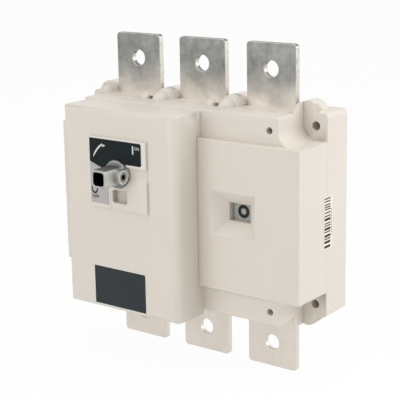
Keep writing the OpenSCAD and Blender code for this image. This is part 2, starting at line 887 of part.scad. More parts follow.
// A full pinion with involute teeth, one of them pointing down at rest
module drive_pinion() {
  steps = 4;
  tooth_turn = 360 / pinion_teeth;
  outline = [
    for (i = [0:pinion_teeth - 1])
      let (mid = -90 + i * tooth_turn)
      each concat(
        [polar(root_r, mid - tooth_half_angle(base_r) - 0.6)],
        [for (k = [0:steps])
          let (r = base_r + (tip_r - base_r) * k / steps) polar(r, mid - tooth_half_angle(r))],
        [for (k = [steps:-1:0])
          let (r = base_r + (tip_r - base_r) * k / steps) polar(r, mid + tooth_half_angle(r))],
        [polar(root_r, mid + tooth_half_angle(base_r) + 0.6)]
      )
  ];
  color(dark_steel)
    difference() {
      translate([shaft_x, pinion_back_y, shaft_z])
        rotate([90, 0, 0])
          linear_extrude(height = pinion_w)
            polygon(outline);
      block([shaft_x - shaft_square / 2 - fit_gap, pinion_y - over,
             shaft_z - shaft_square / 2 - fit_gap],
            [shaft_x + shaft_square / 2 + fit_gap, 0, shaft_z + shaft_square / 2 + fit_gap]);
    }
}

// The clip that keeps the pinion on the shaft
module shaft_clip() {
  color(steel)
    difference() {
      rod_y(shaft_x, shaft_z, pinion_back_y + 0.1, pinion_back_y + 1.1, 7);
      rod_y(shaft_x, shaft_z, pinion_back_y - over, pinion_back_y + 3, 3.5 + fit_gap);
    }
}

// The lever on the shaft that loads the spring
module spring_lever() {
  color(dark_steel)
    difference() {
      along_y(lever_y, lever_y + 3) {
        translate([shaft_x, shaft_z])
          circle(r = shaft_r + 3.5);
        translate([shaft_x - coil_r + wire_r + 0.1, shaft_z - coil_leg - 4])
          square([5, coil_leg + 4]);
      }
      rod_y(shaft_x, shaft_z, pad_y - 20, pad_y, shaft_r + fit_gap);
    }
}

// The sliding carriage with a pocket for each pair of moving bars
module contact_carriage() {
  color(moulding)
    difference() {
      union() {
        block([carriage_left, carriage_front_y, -carriage_half],
              [carriage_right, carriage_back_y, carriage_half]);
        block([rack_left, pinion_back_y, shelf_z], [rack_right, carriage_front_y + over, rack_z - 4]);
        block([rack_left, pinion_y, shelf_z], [rack_right, carriage_front_y + over, rack_base_z]);
        flag_posts();
      }
      for (x = pole_x)
        for (y = [[slot_front_y, part_y], [bar_back_y, slot_back_y]])
          block([x + bridge_open_x - carriage_slot_w / 2, y[0], -carriage_half - over],
                [x + bridge_open_x + carriage_slot_w / 2, y[1], carriage_half + over]);
      for (x = [rack_left + 8, rack_right - 8])
        rod_y(x, rack_screw_z(), pinion_back_y - over, pinion_back_y + 6, screw_r + fit_gap);
    }
}

function rack_screw_z() = (rack_base_z + rack_z - rack_root) / 2;

// Two posts that carry the indicator flag in front of the carriage
module flag_posts() {
  post_half_w = 3;
  post_half_h = 4;
  left = window_x - window_w / 2 + 2 * post_half_w;
  right = window_x + travel + window_w / 2 - 10;
  for (x = [left, right])
    block([x - post_half_w, flag_y + flag_t, window_z - post_half_h],
          [x + post_half_w, carriage_front_y + over, window_z + post_half_h]);
}

// A straight rack under the pinion, with a gap of its teeth below the shaft at rest
module drive_rack() {
  slope = tan(pressure);
  count_left = floor((shaft_x - rack_left) / tooth_pitch - 0.5);
  count_right = floor((rack_right - shaft_x) / tooth_pitch - 0.5);
  color(dark_steel)
    difference() {
      union() {
        block([rack_left, pinion_y, rack_base_z], [rack_right, pinion_back_y, rack_z - rack_root]);
        for (i = [-count_left:count_right])
          translate([shaft_x + (i + 0.5) * tooth_pitch, 0, 0])
            along_y(pinion_y, pinion_back_y)
              polygon([
                [-tooth_pitch / 4 + backlash / 2 - slope * rack_root, rack_z - rack_root - 0.5],
                [-tooth_pitch / 4 + backlash / 2 + slope * rack_tip, rack_z + rack_tip],
                [tooth_pitch / 4 - backlash / 2 - slope * rack_tip, rack_z + rack_tip],
                [tooth_pitch / 4 - backlash / 2 + slope * rack_root, rack_z - rack_root - 0.5]
              ]);
      }
      for (x = [rack_left + 8, rack_right - 8])
        rod_y(x, rack_screw_z(), pinion_y - over, 0, screw_r + fit_gap);
    }
}

module rack_screws() {
  color(steel)
    for (x = [rack_left + 8, rack_right - 8])
      screw(x, rack_screw_z(), pinion_y - 1.6, 1.6, pinion_back_y + 5, 2.6);
}

// A pair of moving bars, one in front of the knives and one behind them
module moving_contact(x) {
  x0 = x + bridge_open_x - knife_w / 2;
  color(copper)
    for (y = [part_y - bridge_gap - bridge_t, bar_back_y + bridge_gap])
      along_y(y, y + bridge_t)
        rounded_rect(x0, x0 + knife_w, -bridge_half, bridge_half, 2);
}

// Bowed leaf springs that press the moving bars onto the knives
module contact_springs() {
  leaf = 0.8;
  front_rise = part_y - bridge_gap - bridge_t - slot_front_y;
  back_rise = slot_back_y - (bar_back_y + bridge_gap + bridge_t);
  color(steel)
    for (x = pole_x) {
      bow(x + bridge_open_x, slot_front_y + 0.02, front_rise - 0.04, leaf, 1);
      bow(x + bridge_open_x, slot_back_y - 0.02, back_rise - 0.04, leaf, -1);
    }
}

// One bowed strip whose crown touches a pocket wall and whose ends touch a bar
module bow(x, crown_y, rise, leaf, s) {
  half = 13;
  r = (half * half + rise * rise) / (2 * rise);
  translate([x - 5, crown_y, 0])
    rotate([90, 0, 90])
      linear_extrude(height = 10)
        intersection() {
          translate([s * r, 0])
            difference() {
              circle(r = r);
              circle(r = r - leaf);
            }
          translate([s > 0 ? 0 : -rise, -half])
            square([rise, 2 * half]);
        }
}

// The plate behind the window that shows the state of the contacts
module indicator_flag() {
  x0 = window_x - window_w / 2 - flag_margin;
  x1 = window_x + travel + window_w / 2 + flag_margin;
  color(grey)
    block([x0, flag_y, window_z - window_h / 2 - 4], [x1, flag_y + flag_t, window_z + window_h / 2 + 4]);
}

// A ring for the open state, and a bar that the closed state brings to the window
module flag_marks() {
  color(slate)
    along_y(flag_y - mark_t, flag_y) {
      translate([window_x, window_z])
        difference() {
          circle(r = mark_r);
          circle(r = mark_r - mark_stroke);
        }
      translate([window_x + travel - mark_stroke / 2, window_z - mark_r])
        square([mark_stroke, 2 * mark_r]);
    }
}

rear_case();
front_case();
mechanism_housing();
indication_plate();
on_film();
off_film();
rating_label();
side_sticker();
front_bearing();
rear_bearing();
case_screws();
housing_screws();
terminal(pole_x[0], 1);  // terminal_line_1
terminal(pole_x[1], 1);  // terminal_line_2
terminal(pole_x[2], 1);  // terminal_line_3
terminal(pole_x[0], -1);  // terminal_load_1
terminal(pole_x[1], -1);  // terminal_load_2
terminal(pole_x[2], -1);  // terminal_load_3
terminal_screws();
arc_chute(pole_x[0], 1);  // arc_chute_line_1
arc_chute(pole_x[1], 1);  // arc_chute_line_2
arc_chute(pole_x[2], 1);  // arc_chute_line_3
arc_chute(pole_x[0], -1);  // arc_chute_load_1
arc_chute(pole_x[1], -1);  // arc_chute_load_2
arc_chute(pole_x[2], -1);  // arc_chute_load_3
drive_spring();
spring_post();
operating_shaft();
shaft_sleeve();
set_screw();
drive_pinion();
shaft_clip();
spring_lever();
contact_carriage();
drive_rack();
rack_screws();
moving_contact(pole_x[0]);  // moving_contact_1
moving_contact(pole_x[1]);  // moving_contact_2
moving_contact(pole_x[2]);  // moving_contact_3
contact_springs();
indicator_flag();
flag_marks();
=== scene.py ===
"""Looks for a three-pole switch disconnector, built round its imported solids.

Everything is in metres, in the frame of the part: X runs along the poles, Y from the front to the back and Z up.
"""

import json
import math
import random

import bmesh
import bpy
from bpy.props import FloatProperty, FloatVectorProperty, IntProperty, PointerProperty
from mathutils import Matrix, Vector


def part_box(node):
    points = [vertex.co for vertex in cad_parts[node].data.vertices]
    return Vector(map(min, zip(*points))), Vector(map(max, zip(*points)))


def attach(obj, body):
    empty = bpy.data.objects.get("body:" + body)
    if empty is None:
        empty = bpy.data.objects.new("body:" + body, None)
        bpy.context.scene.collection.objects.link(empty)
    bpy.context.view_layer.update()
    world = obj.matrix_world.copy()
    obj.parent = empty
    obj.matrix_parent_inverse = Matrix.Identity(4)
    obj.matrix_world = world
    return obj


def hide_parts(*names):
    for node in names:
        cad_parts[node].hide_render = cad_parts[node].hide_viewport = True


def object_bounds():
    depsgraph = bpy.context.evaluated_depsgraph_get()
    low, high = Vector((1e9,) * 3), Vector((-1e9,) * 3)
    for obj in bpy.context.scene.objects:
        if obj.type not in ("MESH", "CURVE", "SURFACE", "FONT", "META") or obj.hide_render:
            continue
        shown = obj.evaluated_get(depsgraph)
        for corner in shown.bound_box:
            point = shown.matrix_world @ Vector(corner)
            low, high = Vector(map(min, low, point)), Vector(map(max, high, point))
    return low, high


bl_info = {
    "name": "Switch disconnector looks",
    "version": (1, 0, 0),
    "blender": (4, 5, 0),
    "location": "3D View > Sidebar > Switch",
    "description": "Finishes, printed marks, rounded edges and a studio for a switch disconnector",
    "category": "Object",
}

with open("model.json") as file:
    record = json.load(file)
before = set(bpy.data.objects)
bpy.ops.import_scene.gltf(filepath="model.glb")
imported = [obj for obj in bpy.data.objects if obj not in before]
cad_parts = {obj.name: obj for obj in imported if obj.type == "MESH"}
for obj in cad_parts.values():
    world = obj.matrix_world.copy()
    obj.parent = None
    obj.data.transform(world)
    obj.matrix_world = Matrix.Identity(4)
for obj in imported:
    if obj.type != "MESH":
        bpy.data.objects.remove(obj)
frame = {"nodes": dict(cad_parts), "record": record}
CAD_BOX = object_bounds()

MM = 0.001
WELD = 2e-6
SHARP = math.radians(35)

CASE_LOW, CASE_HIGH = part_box("rear_case")
FRONT_LOW, FRONT_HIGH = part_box("front_case")
HOUSING_LOW, HOUSING_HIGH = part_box("mechanism_housing")
PLATE_LOW, PLATE_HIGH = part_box("indication_plate")
SLEEVE_LOW, SLEEVE_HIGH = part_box("shaft_sleeve")
ON_LOW, ON_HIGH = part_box("on_film")
OFF_LOW, OFF_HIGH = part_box("off_film")
STICKER_LOW, STICKER_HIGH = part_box("side_sticker")
SHAFT_LOW, SHAFT_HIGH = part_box("operating_shaft")
SHAFT_X = (SHAFT_LOW.x + SHAFT_HIGH.x) / 2
SHAFT_Z = (SHAFT_LOW.z + SHAFT_HIGH.z) / 2
PART_Y = CASE_LOW.y
LEDGE_Y = -0.065
CASE_TOP = 0.080
RIDGE_X = 0.0325
WINDOW = (0.056, 0.0025)
POCKET = (-0.0375, -0.0215, 0.006, 0.0175)


# ---- properties ----


def colour_property(name, description, default):
    return FloatVectorProperty(name=name, description=description, default=default,
                               subtype="COLOR", size=3, min=0.0, max=1.0)


def length_property(name, description, default):
    return FloatProperty(name=name, description=description, default=default,
                         min=0.0, unit="LENGTH", subtype="DISTANCE", precision=5)


class SwitchColours(bpy.types.PropertyGroup):
    """Base colours of the finishes."""

    case: colour_property("Case", "Cream glass-filled moulding", (0.660, 0.612, 0.553))
    dark_film: colour_property("Dark film", "Slate-blue printed film", (0.0075, 0.0125, 0.0140))
    label_film: colour_property("Label film", "Slate film of the rating label", (0.020, 0.026, 0.031))
    grey_film: colour_property("Grey film", "Light grey printed film", (0.412, 0.400, 0.392))
    tin: colour_property("Tin", "Matt tinned copper of the terminals", (0.213, 0.212, 0.201))
    # Colour of the painted reflection of the cream case in the tin.
    tin_reflecting_case: colour_property("Warm tin", "Tin near the case and on the lower terminals", (0.65, 0.597, 0.533))
    zinc: colour_property("Zinc", "Die-cast zinc of the shaft sleeve", (0.66, 0.665, 0.64))
    steel: colour_property("Steel", "Plain and plated steel", (0.40, 0.40, 0.39))
    flag: colour_property("Flag", "Light grey indicator flag", (0.34, 0.355, 0.33))
    white_print: colour_property("White print", "White marks and sticker", (0.62, 0.64, 0.62))
    paper: colour_property("Paper", "Paper of the side sticker", (0.74, 0.71, 0.65))
    black_print: colour_property("Black print", "Black marks", (0.012, 0.012, 0.012))
    # Also the colour of the painted highlight on the edge of the recess beside the plate.
    pale_plate: colour_property("Pale plate", "Raised field of the indication plate", (0.69, 0.665, 0.63))
    blackened: colour_property("Blackened steel", "Shaft, pinion, rack and lever", (0.045, 0.045, 0.048))


class SwitchSizes(bpy.types.PropertyGroup):
    """Sizes of the edge rounding and of the print."""

    case_round: length_property("Case rounding", "Radius of the moulded case edges", 0.9 * MM)
    housing_round: length_property("Housing rounding", "Radius of the housing edges", 1.2 * MM)
    plate_round: length_property("Plate rounding", "Radius of the indication plate edges", 0.4 * MM)
    seam: length_property("Seam", "Chamfer on both sides of the parting line", 0.15 * MM)
    tab_round: length_property("Tab rounding", "Radius of the terminal edges", 0.5 * MM)
    sleeve_round: length_property("Sleeve rounding", "Radius of the sleeve edges", 0.6 * MM)
    print_depth: length_property("Print thickness", "Thickness of a printed mark", 0.08 * MM)
    label_rim: length_property("Label rim", "Width of the light rim of the rating label", 0.5 * MM)
    housing_drop: length_property("Housing drop", "How much lower the housing's lower edge hangs", 4.4 * MM)
    label_drop: length_property("Label drop", "How much lower the label's lower edge lies", 2.8 * MM)
    bar_seed: IntProperty(name="Bar seed", description="Seed of the sticker bars", default=11, min=0)


class SwitchStage(bpy.types.PropertyGroup):
    """Floor, lamps and camera."""

    floor_radius: length_property("Floor radius", "Radius of the pale floor", 9.0)
    ambient: FloatProperty(name="Ambient", description="Strength of the soft surrounding light",
                           default=0.50, min=0.0)
    key: FloatProperty(name="Key", description="Power of the softbox at the right", default=10.2,
                       min=0.0, unit="POWER")
    top: FloatProperty(name="Top", description="Power of the softbox above", default=7.5,
                       min=0.0, unit="POWER")
    front: FloatProperty(name="Front", description="Power of the softbox in front", default=10.3,
                         min=0.0, unit="POWER")
    camera_turn: FloatProperty(name="Camera turn", description="Camera direction right of the front",
                               default=math.radians(34.83), subtype="ANGLE", unit="ROTATION")
    camera_tilt: FloatProperty(name="Camera tilt", description="How far the camera looks down",
                               default=math.radians(12.54), subtype="ANGLE", unit="ROTATION")


# ---- shader node helpers ----


def node(tree, kind, **values):
    """Add a node and set its properties and the values of its inputs by name."""
    made = tree.nodes.new(kind)
    for key, value in values.items():
        if key in made.bl_rna.properties:
            setattr(made, key, value)
        else:
            made.inputs[key.replace("_", " ")].default_value = value
    return made


def math_node(tree, operation, a, b=None, clamp=False):
    made = tree.nodes.new("ShaderNodeMath")
    made.operation = operation
    made.use_clamp = clamp
    for i, value in enumerate((a, b)):
        if value is None:
            continue
        if isinstance(value, (int, float)):
            made.inputs[i].default_value = value
        else:
            tree.links.new(value, made.inputs[i])
    return made.outputs[0]


def noise_of(tree, vector, scale, detail=3.0, roughness=0.5):
    """A noise texture whose scale is a socket or a number."""
    made = node(tree, "ShaderNodeTexNoise", Detail=detail, Roughness=roughness)
    tree.links.new(vector, made.inputs["Vector"])
    if isinstance(scale, (int, float)):
        made.inputs["Scale"].default_value = scale
    else:
        tree.links.new(scale, made.inputs["Scale"])
    return made.outputs["Fac"]


def new_group(name, inputs, outputs):
    """A shader node group with named sockets; gives the tree, its inputs and its output node."""
    tree = bpy.data.node_groups.new(name, "ShaderNodeTree")
    for kind, label, default in inputs:
        socket = tree.interface.new_socket(label, in_out="INPUT", socket_type=kind)
        socket.default_value = default
    for kind, label in outputs:
        tree.interface.new_socket(label, in_out="OUTPUT", socket_type=kind)
    source = tree.nodes.new("NodeGroupInput")
    sink = tree.nodes.new("NodeGroupOutput")
    return tree, source.outputs, sink.inputs


def object_vector(tree):
    return tree.nodes.new("ShaderNodeTexCoord").outputs["Object"]


def cloudy_group():
    """Large soft patches that make a colour a little lighter and darker."""
    tree, i, o = new_group(
        "Cloudy tone",
        [("NodeSocketColor", "Color", (0.5, 0.5, 0.5, 1.0)), ("NodeSocketFloat", "Scale", 20.0),
         ("NodeSocketFloat", "Amount", 0.05)],
        [("NodeSocketColor", "Color")])
    cloud = noise_of(tree, object_vector(tree), i["Scale"], detail=4.0, roughness=0.6)
    centred = math_node(tree, "SUBTRACT", cloud, 0.5)
    gain = math_node(tree, "MULTIPLY", math_node(tree, "MULTIPLY", centred, i["Amount"]), 2.0)
    factor = math_node(tree, "ADD", gain, 1.0)
    scale = tree.nodes.new("ShaderNodeVectorMath")
    scale.operation = "SCALE"
    tree.links.new(i["Color"], scale.inputs[0])
    tree.links.new(factor, scale.inputs["Scale"])
    tree.links.new(scale.outputs[0], o["Color"])
    return tree


def grain_group():
    """Fine surface grain: a height for bump and a roughness that varies with it."""
    tree, i, o = new_group(
        "Fine grain",
        [("NodeSocketFloat", "Scale", 2500.0), ("NodeSocketFloat", "Roughness", 0.45),
         ("NodeSocketFloat", "Spread", 0.08)],
        [("NodeSocketFloat", "Height"), ("NodeSocketFloat", "Roughness")])
    vector = object_vector(tree)
    fine = noise_of(tree, vector, i["Scale"], detail=2.0)
    broad = noise_of(tree, vector, math_node(tree, "MULTIPLY", i["Scale"], 0.03), detail=3.0)
    shift = math_node(tree, "MULTIPLY", math_node(tree, "SUBTRACT", broad, 0.5), i["Spread"])
    tree.links.new(fine, o["Height"])
    tree.links.new(math_node(tree, "ADD", shift, i["Roughness"], clamp=True), o["Roughness"])
    return tree


def wear_and_highlight_group():
    """A mask of the rounded edges, broken up as if rubbed; the materials lighten the edges with it, partly as wear
    and partly as a painted highlight.
    """
    tree, i, o = new_group(
        "Rubbed edges",
        [("NodeSocketFloat", "Scale", 180.0), ("NodeSocketFloat", "Amount", 0.5)],
        [("NodeSocketFloat", "Mask")])
    rim = tree.nodes.new("ShaderNodeAttribute")
    rim.attribute_name = "rim"
    patches = noise_of(tree, object_vector(tree), i["Scale"], detail=3.0)
    spread = math_node(tree, "MULTIPLY", patches, 2.0, clamp=True)
    mask = math_node(tree, "MULTIPLY", math_node(tree, "MULTIPLY", rim.outputs["Fac"], spread), i["Amount"])
    tree.links.new(mask, o["Mask"])
    return tree


def scuff_group():
    """Mottling and long fine scratches for bare and tinned metal."""
    tree, i, o = new_group(
        "Scuffed metal",
        [("NodeSocketFloat", "Scale", 90.0), ("NodeSocketVector", "Stretch", (1.0, 1.0, 0.12))],
        [("NodeSocketFloat", "Mottle"), ("NodeSocketFloat", "Scratch")])
    vector = object_vector(tree)
    mottle = noise_of(tree, vector, i["Scale"], detail=6.0, roughness=0.7)
    squeeze = tree.nodes.new("ShaderNodeVectorMath")
    squeeze.operation = "MULTIPLY"
    tree.links.new(vector, squeeze.inputs[0])
    tree.links.new(i["Stretch"], squeeze.inputs[1])
    streak = noise_of(tree, squeeze.outputs[0], math_node(tree, "MULTIPLY", i["Scale"], 16.0), detail=2.0)
    scratch = math_node(tree, "POWER", streak, 3.0)
    tree.links.new(mottle, o["Mottle"])
    tree.links.new(scratch, o["Scratch"])
    return tree


GROUPS = {}


def place_group(tree, key, **values):
    """Place one of the shared groups in a material and set its inputs."""
    makers = {"cloudy": cloudy_group, "grain": grain_group, "wear_and_highlight": wear_and_highlight_group, "scuff": scuff_group,
              "warm": case_reflection_group}
    if key not in GROUPS:
        GROUPS[key] = makers[key]()
    made = tree.nodes.new("ShaderNodeGroup")
    made.node_tree = GROUPS[key]
    for label, value in values.items():
        made.inputs[label].default_value = value
    return made


def mix_colours(tree, factor, a, b):
    """Mix two colours, each a socket or a value, by a factor socket."""
    made = tree.nodes.new("ShaderNodeMix")
    made.data_type = "RGBA"
    tree.links.new(factor, made.inputs["Factor"])
    for label, value in (("A", a), ("B", b)):
        socket = next(s for s in made.inputs if s.name == label and s.type == "RGBA")
        if isinstance(value, bpy.types.NodeSocket):
            tree.links.new(value, socket)
        else:
            socket.default_value = value
    return next(s for s in made.outputs if s.type == "RGBA")


def rgba(colour, gain=1.0):
    return tuple(min(1.0, c * gain) for c in colour) + (1.0,)


def start_material(name, **constants):
    """A material with a bare Principled shader, its constants set on its own sockets."""
    material = bpy.data.materials.new(name)
    material.use_nodes = True
    tree = material.node_tree
    shader = tree.nodes["Principled BSDF"]
    for label, value in constants.items():
        shader.inputs[label.replace("_", " ")].default_value = value
    return material, tree, shader


def add_bump(tree, shader, height, strength, distance):
    bump = node(tree, "ShaderNodeBump", Strength=strength, Distance=distance)
    tree.links.new(height, bump.inputs["Height"])
    tree.links.new(bump.outputs["Normal"], shader.inputs["Normal"])


def moulded_plastic(name, colour, rough=0.42, cloud=0.03, grain=2600.0, depth=0.15, edge=0.04,
                    pale_colour=None):
    """A satin moulding with faint flow patches, fine grain, lighter edges (rubbed wear and a painted highlight), a
    pale field and painted shade where faces carry a shade value.
    """
    material, tree, shader = start_material(name, IOR=1.5)
    tone = place_group(tree, "cloudy", Color=rgba(colour), Scale=26.0, Amount=cloud)
    wear_and_highlight = place_group(tree, "wear_and_highlight", Scale=220.0, Amount=edge)
    surface = place_group(tree, "grain", Scale=grain, Roughness=rough, Spread=0.10)
    pale = tree.nodes.new("ShaderNodeAttribute")
    pale.attribute_name = "pale"
    field = mix_colours(tree, pale.outputs["Fac"], tone.outputs["Color"], rgba(pale_colour or colour))
    # Painted shade: faces with a shade value go darker, down to 0.3 of the colour.
    shade = tree.nodes.new("ShaderNodeAttribute")
    shade.attribute_name = "shade"
    shade_darkened = mix_colours(tree, shade.outputs["Fac"], field, rgba(colour, 0.30))
    mixed = mix_colours(tree, wear_and_highlight.outputs["Mask"], shade_darkened, rgba(colour, 1.12))
    tree.links.new(mixed, shader.inputs["Base Color"])
    tree.links.new(surface.outputs["Roughness"], shader.inputs["Roughness"])
    add_bump(tree, shader, surface.outputs["Height"], depth, 0.05 * MM)
    return material


def bare_metal(name, colour, rough=0.45, mottle=0.35, scratch=0.3, scale=90.0, stretch=(1.0, 1.0, 0.12),
               metallic=1.0, edge=0.6):
    """Matt metal with mottled tone, fine scratches, brighter edges (rubbed wear and a painted highlight) and painted
    shade, near black, where faces carry a shade value.
    """
    material, tree, shader = start_material(name, Metallic=metallic)
    scuff = place_group(tree, "scuff", Scale=scale, Stretch=stretch)
    surface = place_group(tree, "grain", Scale=1800.0, Roughness=rough, Spread=0.22)
    wear_and_highlight = place_group(tree, "wear_and_highlight", Scale=260.0, Amount=edge)
    spread = math_node(tree, "MULTIPLY", math_node(tree, "SUBTRACT", scuff.outputs["Mottle"], 0.35), 3.0, clamp=True)
    toned = mix_colours(tree, spread, rgba(colour, 1.0 - mottle), rgba(colour, 1.0 + 0.5 * mottle))
    lines = math_node(tree, "MULTIPLY", scuff.outputs["Scratch"], scratch, clamp=True)
    scratched = mix_colours(tree, lines, toned, rgba(colour, 1.4))
    edged = mix_colours(tree, wear_and_highlight.outputs["Mask"], scratched, rgba(colour, 1.6))
    # Painted shade: faces with a shade value go towards near black.
    shade = tree.nodes.new("ShaderNodeAttribute")
    shade.attribute_name = "shade"
    shade_blackened = mix_colours(tree, shade.outputs["Fac"], edged, rgba(colour, 0.04))
    tree.links.new(shade_blackened, shader.inputs["Base Color"])
    tree.links.new(surface.outputs["Roughness"], shader.inputs["Roughness"])
    add_bump(tree, shader, scuff.outputs["Scratch"], 0.25, 0.04 * MM)
    return material


def case_reflection_group():
    """A mask for the painted reflection of the cream case in the tin: it rises towards the case on the upper
    terminals and covers the lower ones.
    """
    tree, i, o = new_group(
        "Warm foot",
        [("NodeSocketFloat", "Start", 0.112), ("NodeSocketFloat", "Reach", 0.031),
         ("NodeSocketFloat", "Break up", 0.4)],
        [("NodeSocketFloat", "Mask")])
    vector = object_vector(tree)
    split = tree.nodes.new("ShaderNodeSeparateXYZ")
    tree.links.new(vector, split.inputs[0])
    cloud = math_node(tree, "SUBTRACT", noise_of(tree, vector, 45.0, detail=3.0), 0.5)
    shift = math_node(tree, "MULTIPLY", math_node(tree, "MULTIPLY", cloud, i["Break up"]), 0.06)
    height = math_node(tree, "ADD", split.outputs["Z"], shift)
    rise = math_node(tree, "DIVIDE", math_node(tree, "SUBTRACT", i["Start"], height), i["Reach"], clamp=True)
    tree.links.new(math_node(tree, "POWER", rise, 2.0), o["Mask"])
    return tree


def tinned_copper(name, colour, warm, rough=0.40):
    """Matt tin with patches, scratches, bright edges (rubbed wear and a painted highlight in cream) and, low down, a
    painted reflection of the cream case.
    """
    material, tree, shader = start_material(name, Metallic=1.0)
    scuff = place_group(tree, "scuff", Scale=70.0, Stretch=(1.0, 1.0, 0.10))
    surface = place_group(tree, "grain", Scale=900.0, Roughness=rough, Spread=0.30)
    wear_and_highlight = place_group(tree, "wear_and_highlight", Scale=260.0, Amount=0.85)
    foot = place_group(tree, "warm")
    spread = math_node(tree, "MULTIPLY", math_node(tree, "SUBTRACT", scuff.outputs["Mottle"], 0.36), 3.6, clamp=True)
    grey = mix_colours(tree, spread, rgba(colour, 0.70), rgba(colour, 1.30))
    beige = mix_colours(tree, spread, rgba(warm, 0.96), rgba(warm, 1.04))
    lines = math_node(tree, "MULTIPLY", scuff.outputs["Scratch"], 0.55, clamp=True)
    scratched = mix_colours(tree, lines, grey, rgba(colour, 1.9))
    # Painted reflection: towards the case and on the lower terminals the tin takes the cream tone of the case.
    toned = mix_colours(tree, foot.outputs["Mask"], scratched, beige)
    edged = mix_colours(tree, wear_and_highlight.outputs["Mask"], toned, (0.70, 0.67, 0.60, 1.0))
    tree.links.new(edged, shader.inputs["Base Color"])
    tree.links.new(surface.outputs["Roughness"], shader.inputs["Roughness"])
    add_bump(tree, shader, scuff.outputs["Scratch"], 0.2, 0.04 * MM)
    return material


def printed_film(name, colour, rough=0.38, cloud=0.06, gloss=0.3):
    """A thin printed film with a faint haze."""
    material, tree, shader = start_material(name, IOR=1.46, Specular_IOR_Level=gloss)
    tone = place_group(tree, "cloudy", Color=rgba(colour), Scale=70.0, Amount=cloud)
    surface = place_group(tree, "grain", Scale=3200.0, Roughness=rough, Spread=0.12)
    pale = tree.nodes.new("ShaderNodeAttribute")
    pale.attribute_name = "pale"
    rimmed = mix_colours(tree, pale.outputs["Fac"], tone.outputs["Color"], (0.72, 0.70, 0.67, 1.0))
    tree.links.new(rimmed, shader.inputs["Base Color"])
    tree.links.new(surface.outputs["Roughness"], shader.inputs["Roughness"])
    add_bump(tree, shader, surface.outputs["Height"], 0.05, 0.03 * MM)
    return material


FINISHES = {}


def finish(slot):
    """The material of one of the record's slots, made once."""
    colours = bpy.context.scene.switch_colours
    makers = {
        "case_moulding": lambda: moulded_plastic("Cream moulding", colours.case, pale_colour=colours.pale_plate),
        "dark_film": lambda: printed_film("Slate film", colours.dark_film, rough=0.45, gloss=0.12),
        "label_film": lambda: printed_film("Label film", colours.label_film, rough=0.40, gloss=0.25),
        "grey_film": lambda: printed_film("Grey film", colours.grey_film, rough=0.45),
        "sticker_paper": lambda: printed_film("White print", colours.white_print, rough=0.55, cloud=0.03),
        "pale_paper": lambda: printed_film("Pale paper", colours.paper, rough=0.5, cloud=0.03),
        "bearing_brass": lambda: bare_metal("Bearing brass", (0.55, 0.40, 0.18), rough=0.35, mottle=0.1),
        "screw_steel": lambda: bare_metal("Plated screw steel", colours.steel, rough=0.35, mottle=0.15),
        "tinned_copper": lambda: tinned_copper("Tinned copper", colours.tin, colours.tin_reflecting_case),
        "chute_steel": lambda: bare_metal("Chute steel", (0.20, 0.20, 0.21), rough=0.5, mottle=0.2),
        "spring_steel": lambda: bare_metal("Spring steel", (0.32, 0.32, 0.33), rough=0.35, mottle=0.1),
        "shaft_steel": lambda: bare_metal("Blackened steel", colours.blackened, rough=0.42, mottle=0.12),
        "cast_zinc": lambda: bare_metal("Cast zinc", colours.zinc, rough=0.5, mottle=0.12, scratch=0.1, edge=0.15,
                                        scale=160.0, stretch=(1.0, 1.0, 1.0)),
        "carriage_moulding": lambda: moulded_plastic("Dark grey moulding", (0.05, 0.05, 0.055), rough=0.5),
        "contact_copper": lambda: bare_metal("Silvered copper", (0.62, 0.55, 0.46), rough=0.3, mottle=0.1),
        "flag_plastic": lambda: moulded_plastic("Flag plastic", colours.flag, rough=0.5, edge=0.0),
        "mark_print": lambda: printed_film("Black print", colours.black_print, rough=0.5, cloud=0.02),
    }
    if slot not in FINISHES:
        FINISHES[slot] = makers[slot]()
    return FINISHES[slot]


# ---- mesh helpers ----


def bodies_of_nodes():
    groups = frame["record"]["behaviour"]["bodies"]
    return {name: body for body, names in groups.items() for name in names}


def slots_of_nodes():
    return {row["node"]: row["material_slot"] for row in frame["record"]["subparts"]}


NODE_BODY = bodies_of_nodes()
NODE_SLOT = slots_of_nodes()


def settle(obj):
    """Mark sharp edges and even out the normals of a finished piece."""
    mesh = obj.data
    mesh.shade_smooth()
    mesh.set_sharp_from_angle(angle=SHARP)
    weighted = obj.modifiers.new("Even normals", "WEIGHTED_NORMAL")
    weighted.keep_sharp = True
    weighted.weight = 100


def new_piece(name, bm, slot, body, smooth=True):
    """Make an object of a bmesh that is already in its place, and let it ride on a body."""
    mesh = bpy.data.meshes.new(name)
    bm.to_mesh(mesh)
    bm.free()
    obj = bpy.data.objects.new(name, mesh)
    bpy.context.scene.collection.objects.link(obj)
    mesh.materials.append(finish(slot))
    if smooth:
        settle(obj)
    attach(obj, body)
    return obj


def merged_copy(name):
    """A welded copy of a CAD node's mesh with its flat faces joined."""
    bm = bmesh.new()
    bm.from_mesh(frame["nodes"][name].data)
    bmesh.ops.remove_doubles(bm, verts=bm.verts, dist=WELD)
    bmesh.ops.dissolve_limit(bm, angle_limit=math.radians(0.4), use_dissolve_boundaries=False,
                             verts=bm.verts, edges=bm.edges)
    bmesh.ops.connect_verts_concave(bm, faces=bm.faces)
    bm.faces.layers.float.new("rim")
    return bm


def round_edges(bm, radius, segments, wanted, angle=40):
    """Round the outward edges that the test picks, and note the new faces as rims."""
    limit = math.radians(angle)
    bm.normal_update()
    picked = [e for e in bm.edges
              if len(e.link_faces) == 2 and e.calc_face_angle_signed(0.0) > limit
              and wanted(e.verts[0].co, e.verts[1].co)]
    if not picked:
        return
    made = bmesh.ops.bevel(bm, geom=picked, offset=radius, offset_type="OFFSET", segments=segments,
                           profile=0.5, affect="EDGES", clamp_overlap=False, material=-1)
    rim = bm.faces.layers.float["rim"]
    for face in made["faces"]:
        face[rim] = 1.0


def lower_verts(bm, limit, drop):
    """Move everything below a height further down."""
    for vert in bm.verts:
        if vert.co.z < limit:
            vert.co.z -= drop


